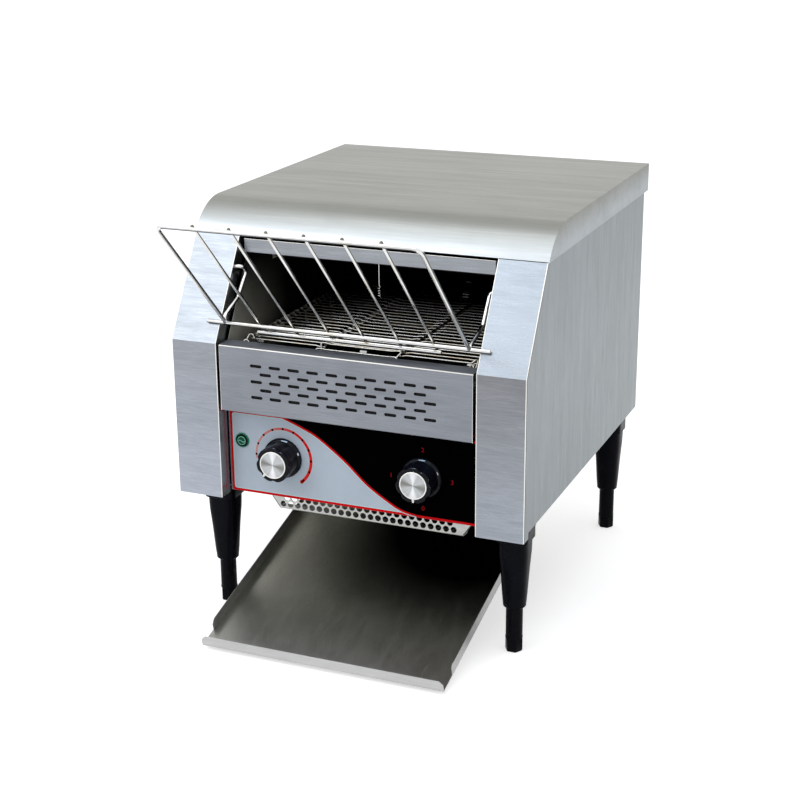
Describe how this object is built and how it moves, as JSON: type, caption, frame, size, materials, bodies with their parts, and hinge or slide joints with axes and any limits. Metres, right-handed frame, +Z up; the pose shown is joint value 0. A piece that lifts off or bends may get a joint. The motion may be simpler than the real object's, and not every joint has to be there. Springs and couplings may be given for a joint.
{
  "type": "conveyor toaster",
  "caption": "Countertop conveyor toaster: wire bread rack, moving wire belt under heaters, knobs on a printed panel, sloped catch tray below and black adjustable legs.",
  "frame": {"origin": "middle of the whole toaster's box, on the surface that the feet stand on", "axes": "+X to the right seen from the front, +Y from the front to the back, +Z up"},
  "size_m": [0.368, 0.5376, 0.443],
  "materials": {
    "body_steel": "brushed stainless sheet",
    "inner_steel": "plain folded sheet, slightly heat toned",
    "liner_steel": "sheet darkened by heat",
    "tray_steel": "smooth stainless sheet, olive reflections",
    "wire_steel": "polished round wire",
    "belt_steel": "drawn wire",
    "shaft_steel": "turned steel",
    "panel_print": "printed panel, light grey and black",
    "leg_plastic": "black moulded plastic",
    "knob_plastic": "black glossy moulding",
    "cap_aluminium": "spun aluminium disc",
    "lamp_green": "translucent green lens",
    "lamp_ring": "dark green bezel",
    "heater_sheath": "oxidised tube",
    "heater_ceramic": "unglazed white ceramic",
    "bush_bronze": "sintered bronze",
    "motor_paint": "grey gearbox and can",
    "inner_plastic": "black moulding",
    "terminal_plastic": "ivory moulding"
  },
  "bodies": {
    "root": {"side_panel_left": "body_steel", "side_panel_right": "body_steel", "top_cover": "body_steel", "base_pan": "inner_steel", "back_panel": "body_steel", "header_strip": "body_steel", "vent_panel": "body_steel", "control_panel": "panel_print", "lower_guard": "body_steel", "leg_front_left": "leg_plastic", "leg_front_right": "leg_plastic", "leg_rear_left": "leg_plastic", "leg_rear_right": "leg_plastic", "leg_nuts": "shaft_steel", "hook_studs": "shaft_steel", "tray_hanger": "shaft_steel", "tray_rests": "inner_steel", "conveyor_belt": "belt_steel", "shaft_bushes": "bush_bronze", "drive_chain": "shaft_steel", "gear_motor": "motor_paint", "motor_bracket": "inner_steel", "liner_left": "liner_steel", "liner_right": "liner_steel", "upper_heaters": "heater_sheath", "lower_heaters": "heater_sheath", "heater_caps": "heater_ceramic", "upper_reflector": "inner_steel", "lower_reflector": "inner_steel", "heat_shield": "inner_steel", "heater_hanger": "shaft_steel", "toast_chute": "inner_steel", "speed_controller": "inner_plastic", "selector_switch": "inner_plastic", "lamp_bezel": "lamp_ring", "lamp_lens": "lamp_green", "fan_frame": "inner_plastic", "cable_gland": "inner_plastic", "terminal_block": "terminal_plastic", "back_screws": "shaft_steel"},
    "bread_rack": {"bread_rack": "wire_steel"},
    "catch_tray": {"catch_tray": "tray_steel"},
    "drive_shaft": {"drive_shaft": "shaft_steel", "drive_sprocket": "shaft_steel"},
    "idler_shaft": {"idler_shaft": "shaft_steel"},
    "motor_shaft": {"motor_shaft": "shaft_steel", "motor_sprocket": "shaft_steel"},
    "fan_rotor": {"fan_rotor": "inner_plastic"},
    "speed_knob": {"speed_knob": "knob_plastic", "speed_knob_cap": "cap_aluminium", "speed_spindle": "shaft_steel"},
    "selector_knob": {"selector_knob": "knob_plastic", "selector_knob_cap": "cap_aluminium", "selector_spindle": "shaft_steel"},
    "foot_front_left": {"foot_front_left": "leg_plastic"},
    "foot_front_right": {"foot_front_right": "leg_plastic"},
    "foot_rear_left": {"foot_rear_left": "leg_plastic"},
    "foot_rear_right": {"foot_rear_right": "leg_plastic"}
  },
  "joints": [
    {"name": "rack_lift", "type": "slide", "parent": "root", "child": "bread_rack", "axis": [0, 0.5167, 0.8561], "range_m": [0, 0.01]},
    {"name": "tray_lift", "type": "hinge", "parent": "root", "child": "catch_tray", "pos_m": [0, 0.23512, 0.1315], "axis": [-1, 0, 0], "range_deg": [0, 8]},
    {"name": "drive_spin", "type": "hinge", "parent": "root", "child": "drive_shaft", "pos_m": [0, 0.20012, 0.2685], "axis": [1, 0, 0], "continuous": true},
    {"name": "idler_spin", "type": "hinge", "parent": "root", "child": "idler_shaft", "pos_m": [0, -0.10988, 0.2685], "axis": [1, 0, 0], "continuous": true},
    {"name": "motor_spin", "type": "hinge", "parent": "root", "child": "motor_shaft", "pos_m": [0, 0.14012, 0.192], "axis": [1, 0, 0], "continuous": true},
    {"name": "fan_spin", "type": "hinge", "parent": "root", "child": "fan_rotor", "pos_m": [-0.062, -0.02388, 0.156], "axis": [0, 0, 1], "continuous": true},
    {"name": "speed_turn", "type": "hinge", "parent": "root", "child": "speed_knob", "pos_m": [-0.074, -0.13788, 0.1814], "axis": [0, 1, 0], "range_deg": [0, 280]},
    {"name": "selector_turn", "type": "hinge", "parent": "root", "child": "selector_knob", "pos_m": [0.074, -0.13788, 0.1814], "axis": [0, 1, 0], "range_deg": [0, 270]},
    {"name": "front_left_level", "type": "slide", "parent": "root", "child": "foot_front_left", "axis": [0, 0, 1], "range_m": [-0.008, 0.035]},
    {"name": "front_right_level", "type": "slide", "parent": "root", "child": "foot_front_right", "axis": [0, 0, 1], "range_m": [-0.008, 0.035]},
    {"name": "rear_left_level", "type": "slide", "parent": "root", "child": "foot_rear_left", "axis": [0, 0, 1], "range_m": [-0.008, 0.035]},
    {"name": "rear_right_level", "type": "slide", "parent": "root", "child": "foot_rear_right", "axis": [0, 0, 1], "range_m": [-0.008, 0.035]}
  ],
  "couplings": [
    {"joint": "idler_spin", "follows": "drive_spin", "ratio": 1},
    {"joint": "motor_spin", "follows": "drive_spin", "ratio": 2}
  ]
}
